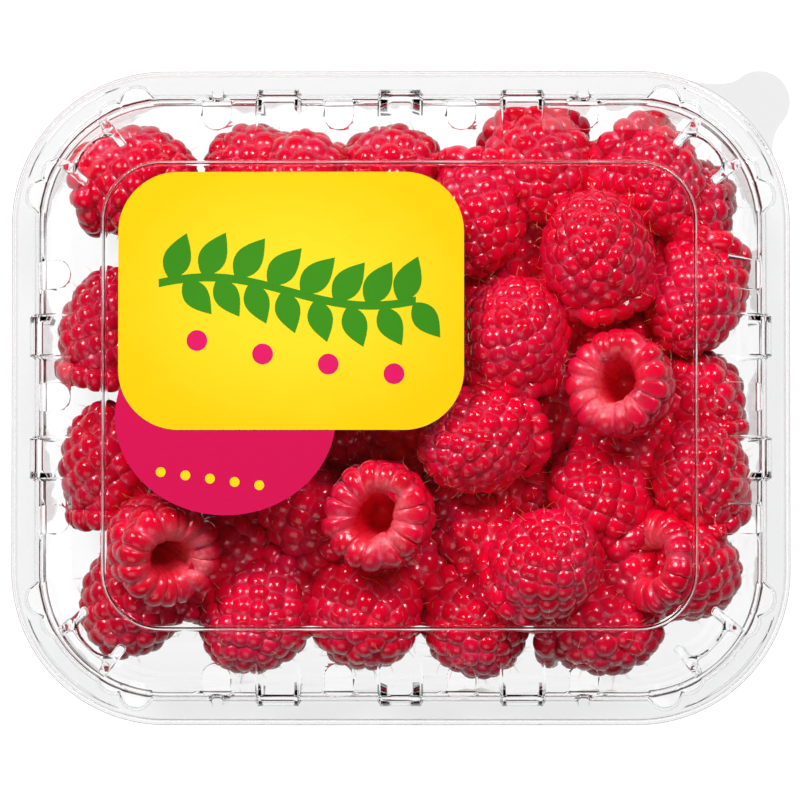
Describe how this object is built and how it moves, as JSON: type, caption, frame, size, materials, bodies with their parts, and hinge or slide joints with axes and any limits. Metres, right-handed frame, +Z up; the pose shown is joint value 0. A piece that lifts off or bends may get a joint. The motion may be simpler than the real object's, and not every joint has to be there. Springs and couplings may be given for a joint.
{
  "type": "punnet of raspberries",
  "caption": "Clear formed punnet with a vented press-on lid, a paper label stuck on the lid and a heap of raspberries inside",
  "frame": {"origin": "under the middle of the punnet, on the surface that it stands on", "axes": "+X along the long side, +Y along the short side away from the viewer, +Z up through the lid; the lifting tab is at the corner +X +Y"},
  "size_m": [0.1438, 0.1208, 0.036],
  "materials": {
    "tray": "clear glossy plastic sheet",
    "lid": "clear glossy plastic sheet",
    "label": "printed paper",
    "raspberries": "fresh fruit"
  },
  "bodies": {
    "root": {"tray": "tray", "lid": "lid", "label": "label", "raspberries": "raspberries"}
  },
  "joints": []
}
